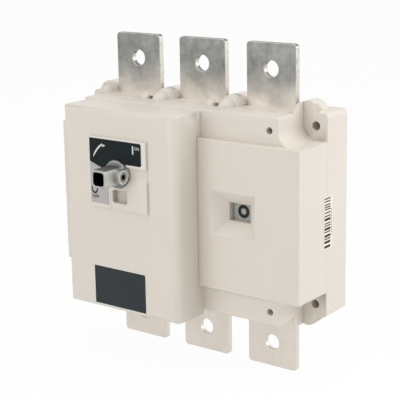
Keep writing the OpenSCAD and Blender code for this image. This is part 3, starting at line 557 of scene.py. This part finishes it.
def on_plane(axis, value, slack=2e-5):
    """A test for edges that lie in a plane square to an axis."""
    return lambda a, b: abs(a[axis] - value) < slack and abs(b[axis] - value) < slack


def on_any(*tests):
    return lambda a, b: any(test(a, b) for test in tests)


def replace_node(name, bm):
    """Let a dressed copy stand for a CAD node."""
    obj = new_piece(name + "_shape", bm, NODE_SLOT[name], NODE_BODY[name])
    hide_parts(name)
    return obj


def raise_print(bm, y_face, depth):
    """Stand flat print off a surface that faces the front, as a closed thin solid."""
    for vert in bm.verts:
        vert.co.y = y_face
    grown = bmesh.ops.extrude_face_region(bm, geom=bm.faces[:])
    moved = [v for v in grown["geom"] if isinstance(v, bmesh.types.BMVert)]
    bmesh.ops.translate(bm, vec=(0.0, -depth, 0.0), verts=moved)
    bmesh.ops.recalc_face_normals(bm, faces=bm.faces)


def text_print(bm, words, x, z, height, width, depth, y_face, bold=0.0):
    """Add raised words, fitted to a height and a width, with their lower left corner at x, z."""
    curve = bpy.data.curves.new("words", "FONT")
    curve.body = words
    curve.size = 1.0
    curve.offset = bold
    curve.resolution_u = 4
    holder = bpy.data.objects.new("words", curve)
    bpy.context.scene.collection.objects.link(holder)
    bpy.context.view_layer.update()
    mesh = bpy.data.meshes.new_from_object(holder.evaluated_get(bpy.context.evaluated_depsgraph_get()))
    bpy.data.objects.remove(holder)
    bpy.data.curves.remove(curve)
    part = bmesh.new()
    part.from_mesh(mesh)
    bpy.data.meshes.remove(mesh)
    bmesh.ops.remove_doubles(part, verts=part.verts, dist=1e-5)
    low = Vector(min(v.co[i] for v in part.verts) for i in range(3))
    high = Vector(max(v.co[i] for v in part.verts) for i in range(3))
    for vert in part.verts:
        across = (vert.co.x - low.x) / (high.x - low.x)
        up = (vert.co.y - low.y) / (high.y - low.y)
        vert.co = Vector((x + across * width, y_face, z + up * height))
    raise_print(part, y_face, depth)
    append_bmesh(bm, part)


def append_bmesh(bm, part):
    """Add the mesh of one bmesh to another and free it."""
    mesh = bpy.data.meshes.new("part")
    part.to_mesh(mesh)
    part.free()
    bm.from_mesh(mesh)
    bpy.data.meshes.remove(mesh)


def ring_strip(centre, radii, start, end, steps, taper=0.0):
    """A flat strip between two radii round a point of the front, narrowed towards its start."""
    part = bmesh.new()
    x, z = centre
    middle, half = sum(radii) / 2, abs(radii[1] - radii[0]) / 2
    a = part.verts.new((x + (middle - half) * math.cos(start), 0.0, z + (middle - half) * math.sin(start)))
    b = part.verts.new((x + (middle + half) * math.cos(start), 0.0, z + (middle + half) * math.sin(start)))
    edge = part.edges.new((a, b))
    bmesh.ops.spin(part, geom=[a, b, edge], cent=(x, 0.0, z), axis=(0.0, -1.0, 0.0),
                   angle=end - start, steps=steps, use_merge=abs(end - start) > 6.28)
    if taper:
        for vert in part.verts:
            turn = math.atan2(vert.co.z - z, vert.co.x - x)
            share = max(0.0, (turn - (start + end) / 2) / ((start - end) / 2))
            narrow = 1.0 - taper * share ** 2
            r = math.hypot(vert.co.x - x, vert.co.z - z)
            r = middle + (r - middle) * narrow
            vert.co = Vector((x + r * math.cos(turn), 0.0, z + r * math.sin(turn)))
    return part


def flat_shape(points):
    """One flat face through points given as x, z."""
    part = bmesh.new()
    part.faces.new([part.verts.new((x, 0.0, z)) for x, z in points])
    return part


# ---- operators ----


class SWITCH_OT_case(bpy.types.Operator):
    """Round the moulded edges of the case halves"""

    bl_idname = "switch.case"
    bl_label = "Case"

    def execute(self, context):
        sizes = context.scene.switch_sizes
        side = abs(CASE_HIGH.x)
        slot_top, slot_low = PART_Y - 12.5 * MM, PART_Y - 14.5 * MM

        def clear_of_slots(a, b):
            return not (slot_low < a.y < slot_top and slot_low < b.y < slot_top)

        def ends(a, b):
            flat = abs(abs(a.z) - CASE_TOP) < 2e-5 and abs(abs(b.z) - CASE_TOP) < 2e-5
            return flat and clear_of_slots(a, b)

        def outline(a, b):
            return (abs(a.x) > side - 1e-3 and abs(b.x) > side - 1e-3) or ends(a, b)

        front = merged_copy("front_case")
        planes = on_any(on_plane(1, FRONT_LOW.y), on_plane(1, LEDGE_Y), on_plane(0, side), on_plane(0, -side), ends)
        round_edges(front, sizes.case_round, 3,
                    lambda a, b: planes(a, b) and not on_plane(1, PART_Y)(a, b))
        round_edges(front, sizes.seam, 1, lambda a, b: on_plane(1, PART_Y)(a, b) and outline(a, b))
        replace_node("front_case", front)

        rear = merged_copy("rear_case")
        back = on_plane(1, CASE_HIGH.y)
        round_edges(rear, sizes.case_round, 2, lambda a, b: back(a, b) and outline(a, b))
        round_edges(rear, sizes.seam, 1, lambda a, b: on_plane(1, PART_Y)(a, b) and outline(a, b))
        replace_node("rear_case", rear)
        self.add_noses()
        return {"FINISHED"}

    def add_noses(self):
        """Low rounded noses and beads in front of the barrier ridges between the poles, and dark webs between them:
        painted shade that stands for the shadowed gaps.
        """
        noses = bmesh.new()
        shade = noses.faces.layers.float.new("shade")
        for x in (-RIDGE_X, RIDGE_X):
            for side in (-1, 1):
                z = side * (CASE_TOP - 0.5 * MM)
                self.add_dome(noses, (x, PART_Y - 10.0 * MM, z), (7.6 * MM, 10.0 * MM, 7.2 * MM))
                self.add_dome(noses, (x - 14.5 * MM, PART_Y - 13.5 * MM, z), (4.3 * MM, 4.2 * MM, 5.2 * MM))
                place = Matrix.Translation((x - 9.2 * MM, PART_Y - 13.7 * MM, side * (CASE_TOP + MM)))
                size = Matrix.Diagonal((2.2 * MM, 3.0 * MM, 2.2 * MM, 1.0))
                gap_shadow = bmesh.ops.create_cube(noses, size=1.0, matrix=place @ size)
                # Painted shade: each web is a dark block in place of the shadow in the gap.
                for face in {f for v in gap_shadow["verts"] for f in v.link_faces}:
                    face[shade] = 1.0
        new_piece("ridge_noses", noses, "case_moulding", "case")

    def add_dome(self, bm, centre, radii):
        """A rounded dome that is sunk halfway into the case."""
        place = Matrix.Translation(centre) @ Matrix.Diagonal(radii + (1.0,))
        bmesh.ops.create_uvsphere(bm, u_segments=32, v_segments=16, radius=1.0, matrix=place)


class SWITCH_OT_housing(bpy.types.Operator):
    """Round the edges of the mechanism housing and of its indication plate"""

    bl_idname = "switch.housing"
    bl_label = "Mechanism housing"

    def execute(self, context):
        sizes = context.scene.switch_sizes
        housing = merged_copy("mechanism_housing")
        low, high = HOUSING_LOW, HOUSING_HIGH
        tests = on_any(on_plane(0, low.x), on_plane(0, high.x), on_plane(2, low.z), on_plane(2, high.z))
        round_edges(housing, sizes.housing_round, 3,
                    lambda a, b: tests(a, b) and not on_plane(1, high.y)(a, b) and a.y < -0.07 and b.y < -0.07)
        self.shade_pocket(housing)
        self.light_ridge(housing)
        lower_verts(housing, HOUSING_LOW.z + 9.0 * MM, sizes.housing_drop)
        replace_node("mechanism_housing", housing)
        plate = merged_copy("indication_plate")
        round_edges(plate, sizes.plate_round, 2, on_plane(1, PLATE_LOW.y))
        step_z = SHAFT_Z + 6.0 * MM
        bmesh.ops.bisect_plane(plate, geom=plate.verts[:] + plate.edges[:] + plate.faces[:], dist=1e-6,
                               plane_co=(0.0, 0.0, step_z), plane_no=(0.0, 0.0, 1.0))
        pale = plate.faces.layers.float.new("pale")
        for face in plate.faces:
            middle = face.calc_center_median()
            raised = middle.y < PLATE_LOW.y + sizes.plate_round
            face[pale] = (1.0 if middle.z > step_z else 0.3) if raised else 0.0
        replace_node("indication_plate", plate)
        return {"FINISHED"}


    def light_ridge(self, housing):
        """Break the edge of the shallow recess beside the plate, so that it catches the light, and paint a highlight
        on the broken edge in the pale colour.
        """
        edge_x = PLATE_HIGH.x + 0.5 * MM
        width = 0.3 * MM
        pale = housing.faces.layers.float.new("pale")
        in_front = on_plane(1, HOUSING_LOW.y)
        at_step = on_plane(0, edge_x)
        round_edges(housing, width, 1, lambda a, b: in_front(a, b) and at_step(a, b))
        housing.normal_update()
        # Painted highlight: the faces of the broken edge get the pale colour.
        for face in housing.faces:
            middle = face.calc_center_median()
            if abs(middle.x - edge_x) < width and -0.9 < face.normal.x < -0.3 and face.normal.y < -0.3:
                face[pale] = 1.0

    def shade_pocket(self, housing):
        """Paint shade into the finger pocket under the sleeve, where the sleeve shadows it, so that it is darker
        than the polished front.
        """
        shade = housing.faces.layers.float.new("shade")
        housing.normal_update()
        x0, x1, z0, z1 = POCKET
        for face in housing.faces:
            middle = face.calc_center_median()
            if x0 < middle.x < x1 and z0 < middle.z < z1 and middle.y < HOUSING_LOW.y + 5 * MM:
                face[shade] = 0.55 if face.normal.x > 0.5 else 0.2


class SWITCH_OT_terminals(bpy.types.Operator):
    """Ease the edges and the hole rims of the terminal bars and paint a highlight on their side faces"""

    bl_idname = "switch.terminals"
    bl_label = "Terminal bars"

    def execute(self, context):
        radius = context.scene.switch_sizes.tab_round
        for name in sorted(frame["nodes"]):
            if not name.startswith("terminal_l"):
                continue
            bar = merged_copy(name)
            outside = CASE_TOP + 2.0 * MM
            round_edges(bar, radius, 2, lambda a, b: max(abs(a.z), abs(b.z)) > outside, angle=50)
            # Painted highlight: the side faces outside the case get the whole edge mask and turn cream; other
            # rounded rims keep less than half of it.
            rim = bar.faces.layers.float["rim"]
            bar.normal_update()
            for face in bar.faces:
                side = abs(face.normal.x) > 0.9 and abs(face.calc_center_median().z) > CASE_TOP
                face[rim] = 1.0 if side else 0.45 * face[rim]
            replace_node(name, bar)
        return {"FINISHED"}


class SWITCH_OT_sleeve(bpy.types.Operator):
    """Round the cast edges of the shaft sleeve and paint shade on its socket, front, top, collar and boss"""

    bl_idname = "switch.sleeve"
    bl_label = "Shaft sleeve"

    def execute(self, context):
        radius = context.scene.switch_sizes.sleeve_round
        sleeve = merged_copy("shaft_sleeve")
        round_edges(sleeve, radius, 3, on_any(on_plane(1, SLEEVE_LOW.y), on_plane(0, SLEEVE_HIGH.x)))
        # Painted shade: the deep socket near black; the front, top, collar and boss sides darker; the boss end stays
        # bright.
        shade = sleeve.faces.layers.float.new("shade")
        sleeve.normal_update()
        for face in sleeve.faces:
            middle = face.calc_center_median()
            across, up = middle.x - SHAFT_X, middle.z - SHAFT_Z
            if face.normal.y < -0.5 and middle.y < SLEEVE_LOW.y + MM:
                face[shade] = 0.45
            elif max(abs(across), abs(up)) < 5.6 * MM:
                face[shade] = 1.0
            elif across > 7.3 * MM and middle.y < SLEEVE_HIGH.y - 2.0 * MM:
                face[shade] = 0.0 if face.normal.x > 0.9 else 0.56
            elif face.normal.z > 0.8:
                face[shade] = 0.7
            elif face.normal.y < -0.8 and math.hypot(across, up) > 8.0 * MM:
                face[shade] = 0.64
        sleeve = replace_node("shaft_sleeve", sleeve)
        sleeve.data.set_sharp_from_angle(angle=math.radians(20))
        self.darken_screw()
        return {"FINISHED"}


    def darken_screw(self):
        """Paint shade into the hexagon socket of the set screw, near black, and a little on the rest of the screw.
        """
        screw = merged_copy("set_screw")
        low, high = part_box("set_screw")
        shade = screw.faces.layers.float.new("shade")
        socket = 0.55 * (high.z - low.z) / 2
        for face in screw.faces:
            middle = face.calc_center_median()
            inside = math.hypot(middle.y - (low.y + high.y) / 2, middle.z - (low.z + high.z) / 2) < socket
            face[shade] = 1.0 if inside else 0.1
        replace_node("set_screw", screw)


class SWITCH_OT_marks(bpy.types.Operator):
    """Print the generic switching marks on the indication plate"""

    bl_idname = "switch.marks"
    bl_label = "Switching marks"

    def execute(self, context):
        depth = context.scene.switch_sizes.print_depth
        face = ON_LOW.y
        white = bmesh.new()
        arc = ring_strip((SHAFT_X, SHAFT_Z), (25.4 * MM, 26.8 * MM), math.radians(154), math.radians(122), 16, 0.6)
        head = flat_shape(self.from_shaft([(-14.8, 22.5), (-13.6, 19.9), (-10.9, 21.2)]))
        bar = flat_shape(self.from_shaft([(16.0, 17.3), (17.2, 17.3), (17.2, 23.8), (16.0, 23.8)]))
        for part in (arc, head, bar):
            raise_print(part, face, depth)
            append_bmesh(white, part)
        x, z = self.from_shaft([(18.1, 20.8)])[0]
        text_print(white, "ON", x, z, 2.4 * MM, 4.6 * MM, depth, face)
        new_piece("on_marks", white, "sticker_paper", "case", smooth=False)

        black = bmesh.new()
        x, z = self.from_shaft([(-23.2, -14.3)])[0]
        zero = ring_strip((x, z), (2.1 * MM, 3.4 * MM), 0.0, 2 * math.pi, 32)
        for vert in zero.verts:
            vert.co.z = z + 1.2 * (vert.co.z - z)
        raise_print(zero, face, depth)
        append_bmesh(black, zero)
        x, z = self.from_shaft([(-25.7, -21.8)])[0]
        text_print(black, "OFF", x, z, 2.7 * MM, 6.6 * MM, depth, face, 0.02)
        new_piece("off_marks", black, "mark_print", "case", smooth=False)
        self.bolden_ring()
        return {"FINISHED"}

    def bolden_ring(self):
        """Widen the stroke of the ring on the indicator flag inwards."""
        marks = merged_copy("flag_marks")
        x, z = WINDOW
        for vert in marks.verts:
            across, up = vert.co.x - x, vert.co.z - z
            away = math.hypot(across, up)
            if away < 3.7 * MM:
                grow = 2.5 * MM / away
                vert.co.x, vert.co.z = x + across * grow, z + up * grow
        replace_node("flag_marks", marks)

    def from_shaft(self, points):
        """Points in millimetres from the shaft's axis, as x and z in metres."""
        return [(SHAFT_X + x * MM, SHAFT_Z + z * MM) for x, z in points]


class SWITCH_OT_label(bpy.types.Operator):
    """Give the bare rating label its light rim"""

    bl_idname = "switch.label"
    bl_label = "Rating label"

    def execute(self, context):
        label = merged_copy("rating_label")
        pale = label.faces.layers.float.new("pale")
        label.normal_update()
        low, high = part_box("rating_label")
        middle = (low + high) / 2
        for vert in label.verts:
            vert.co.x += 0.6 * MM if vert.co.x > middle.x else -1.1 * MM
            vert.co.z += math.copysign(0.35 * MM, vert.co.z - middle.z)
        lower_verts(label, middle.z, context.scene.switch_sizes.label_drop)
        front = [f for f in label.faces if f.normal.y < -0.9]
        bmesh.ops.inset_region(label, faces=front, thickness=context.scene.switch_sizes.label_rim, depth=0.0,
                               use_even_offset=True, use_boundary=True)
        inner = set(front)
        for face in label.faces:
            face[pale] = 0.0 if face in inner else 1.0
        obj = replace_node("rating_label", label)
        obj.data.materials.clear()
        obj.data.materials.append(finish("label_film"))
        return {"FINISHED"}


class SWITCH_OT_sticker(bpy.types.Operator):
    """Print plain bars on the side sticker"""

    bl_idname = "switch.sticker"
    bl_label = "Sticker bars"

    def execute(self, context):
        sizes = context.scene.switch_sizes
        paper = bmesh.new()
        low, high = STICKER_LOW, STICKER_HIGH
        thick = high.x - low.x - sizes.print_depth - 0.02 * MM
        size = Matrix.Diagonal((thick, high.y - low.y, high.z - low.z, 1.0))
        middle = Vector((low.x + thick / 2, (low.y + high.y) / 2, (low.z + high.z) / 2))
        bmesh.ops.create_cube(paper, size=1.0, matrix=Matrix.Translation(middle) @ size)
        upright = [e for e in paper.edges if abs(e.verts[0].co.x - e.verts[1].co.x) > thick / 2]
        bmesh.ops.bevel(paper, geom=upright, offset=1.0 * MM, offset_type="OFFSET", segments=4, profile=0.5,
                        affect="EDGES", material=-1)
        obj = replace_node("side_sticker", paper)
        obj.data.materials.clear()
        obj.data.materials.append(finish("pale_paper"))

        draw = random.Random(sizes.bar_seed)
        bars = bmesh.new()
        face = low.x + thick
        z = STICKER_LOW.z + 1.0 * MM
        top = STICKER_HIGH.z - 1.0 * MM
        front, back = STICKER_LOW.y + 0.8 * MM, STICKER_HIGH.y - 3.4 * MM
        while z < top:
            tall = draw.choice((0.9, 0.9, 1.3, 1.9)) * MM
            self.add_bar(bars, face, (front, back), (z, min(z + tall, top)), sizes.print_depth)
            z += tall + draw.choice((0.9, 1.2, 1.7)) * MM
        z = STICKER_LOW.z + 10.0 * MM
        while z < top - 10.0 * MM:
            self.add_bar(bars, face, (back + 0.9 * MM, back + 2.0 * MM), (z, z + 0.7 * MM), sizes.print_depth)
            z += 1.8 * MM
        new_piece("sticker_bars", bars, "mark_print", "case", smooth=False)
        return {"FINISHED"}

    def add_bar(self, bm, x0, y, z, depth):
        """One thin bar on the side sticker."""
        size = Matrix.Diagonal((depth, y[1] - y[0], z[1] - z[0], 1.0))
        place = Matrix.Translation((x0 + depth / 2, sum(y) / 2, sum(z) / 2))
        bmesh.ops.create_cube(bm, size=1.0, matrix=place @ size)


class SWITCH_OT_finishes(bpy.types.Operator):
    """Give every CAD node that still shows the finish of its slot"""

    bl_idname = "switch.finishes"
    bl_label = "Finishes"

    def execute(self, context):
        for name, obj in frame["nodes"].items():
            obj.data.materials.clear()
            obj.data.materials.append(finish(NODE_SLOT[name]))
        return {"FINISHED"}


class SWITCH_OT_stage(bpy.types.Operator):
    """Set up the pale floor, the soft lamps and the camera"""

    bl_idname = "switch.stage"
    bl_label = "Stage"

    def execute(self, context):
        stage = context.scene.switch_stage
        self.add_floor(stage)
        self.add_world(context.scene, stage)
        self.add_lamp("Right softbox", (1.10, 0.45, 0.55), 1.1, stage.key)
        self.add_lamp("Top softbox", (0.15, -0.25, 1.35), 1.3, stage.top)
        self.add_lamp("Front softbox", (-0.42, -1.57, 0.60), 1.2, stage.front)
        self.add_camera(context.scene, stage)
        context.scene.view_settings.view_transform = "Standard"
        return {"FINISHED"}

    def add_floor(self, stage):
        """A round floor that shows white to the camera and still takes the shadow."""
        bm = bmesh.new()
        bmesh.ops.create_circle(bm, cap_ends=True, segments=96, radius=stage.floor_radius,
                                matrix=Matrix.Translation((0.0, 0.0, CAD_BOX[0].z - 0.2 * MM)))
        mesh = bpy.data.meshes.new("floor")
        bm.to_mesh(mesh)
        bm.free()
        floor = bpy.data.objects.new("floor", mesh)
        bpy.context.scene.collection.objects.link(floor)
        material, tree, shader = start_material("Pale floor", Base_Color=(0.86, 0.86, 0.85, 1.0), Roughness=0.9)
        glow = node(tree, "ShaderNodeEmission", Color=(1.0, 1.0, 1.0, 1.0), Strength=1.0)
        mix = tree.nodes.new("ShaderNodeMixShader")
        tree.links.new(math_node(tree, "MULTIPLY", self.seen_rays(tree), 0.95), mix.inputs["Fac"])
        tree.links.new(shader.outputs["BSDF"], mix.inputs[1])
        tree.links.new(glow.outputs["Emission"], mix.inputs[2])
        tree.links.new(mix.outputs["Shader"], tree.nodes["Material Output"].inputs["Surface"])
        mesh.materials.append(material)

    def seen_rays(self, tree):
        """1 where the camera, a reflection or a transmission looks."""
        path = tree.nodes.new("ShaderNodeLightPath").outputs
        seen = math_node(tree, "MAXIMUM", path["Is Camera Ray"], path["Is Glossy Ray"])
        return math_node(tree, "MAXIMUM", seen, path["Is Transmission Ray"])

    def add_world(self, scene, stage):
        """White to the camera, softer as a light."""
        world = bpy.data.worlds.new("Studio")
        world.use_nodes = True
        tree = world.node_tree
        soft = tree.nodes["Background"]
        soft.inputs["Color"].default_value = (1.0, 0.985, 0.96, 1.0)
        soft.inputs["Strength"].default_value = stage.ambient
        white = node(tree, "ShaderNodeBackground", Color=(1.0, 1.0, 1.0, 1.0), Strength=1.0)
        mix = tree.nodes.new("ShaderNodeMixShader")
        tree.links.new(self.seen_rays(tree), mix.inputs["Fac"])
        tree.links.new(soft.outputs["Background"], mix.inputs[1])
        tree.links.new(white.outputs["Background"], mix.inputs[2])
        tree.links.new(mix.outputs["Shader"], tree.nodes["World Output"].inputs["Surface"])
        scene.world = world

    def add_lamp(self, name, place, size, power):
        lamp = bpy.data.lights.new(name, "AREA")
        lamp.shape = "SQUARE"
        lamp.size = size
        lamp.energy = power
        holder = bpy.data.objects.new(name, lamp)
        bpy.context.scene.collection.objects.link(holder)
        holder.location = place
        holder.rotation_mode = "QUATERNION"
        holder.rotation_quaternion = (-Vector(place)).to_track_quat("-Z", "Y")

    def add_camera(self, scene, stage):
        """The photograph's view: a little right of the front and above the part."""
        camera = bpy.data.cameras.new("Camera")
        camera.sensor_width = 36.0
        camera.lens = 103.18
        camera.shift_x = -0.10
        camera.shift_y = -0.10
        camera.clip_start = 0.01
        camera.clip_end = 50.0
        holder = bpy.data.objects.new("Camera", camera)
        scene.collection.objects.link(holder)
        turn = Matrix.Rotation(stage.camera_turn, 4, "Z")
        tilt = Matrix.Rotation(math.pi / 2 - stage.camera_tilt, 4, "X")
        roll = Matrix.Rotation(math.radians(-0.55), 4, "Z")
        holder.matrix_world = Matrix.Translation((0.5382, -0.7525, 0.2315)) @ turn @ tilt @ roll
        scene.camera = holder


OPERATORS = (SWITCH_OT_case, SWITCH_OT_housing, SWITCH_OT_terminals, SWITCH_OT_sleeve, SWITCH_OT_marks,
             SWITCH_OT_label, SWITCH_OT_sticker, SWITCH_OT_finishes, SWITCH_OT_stage)


class SWITCH_PT_panel(bpy.types.Panel):
    """Lists the steps that dress the switch"""

    bl_idname = "SWITCH_PT_panel"
    bl_label = "Switch disconnector"
    bl_space_type = "VIEW_3D"
    bl_region_type = "UI"
    bl_category = "Switch"

    def draw(self, context):
        for group in (context.scene.switch_colours, context.scene.switch_sizes, context.scene.switch_stage):
            box = self.layout.box()
            for key in group.bl_rna.properties.keys():
                if key not in {"rna_type", "name"}:
                    box.prop(group, key)
        for step in OPERATORS:
            self.layout.operator(step.bl_idname)


GROUP_CLASSES = (SwitchColours, SwitchSizes, SwitchStage)
CLASSES = GROUP_CLASSES + OPERATORS + (SWITCH_PT_panel,)


def register():
    for cls in CLASSES:
        bpy.utils.register_class(cls)
    bpy.types.Scene.switch_colours = PointerProperty(type=SwitchColours)
    bpy.types.Scene.switch_sizes = PointerProperty(type=SwitchSizes)
    bpy.types.Scene.switch_stage = PointerProperty(type=SwitchStage)


def unregister():
    for key in ("switch_colours", "switch_sizes", "switch_stage"):
        delattr(bpy.types.Scene, key)
    for cls in reversed(CLASSES):
        bpy.utils.unregister_class(cls)


def main():
    """Register the classes and run every step in order."""
    register()
    for step in OPERATORS:
        group, name = step.bl_idname.split(".")
        getattr(getattr(bpy.ops, group), name)()
    bpy.context.view_layer.update()


if __name__ == "__main__":
    main()
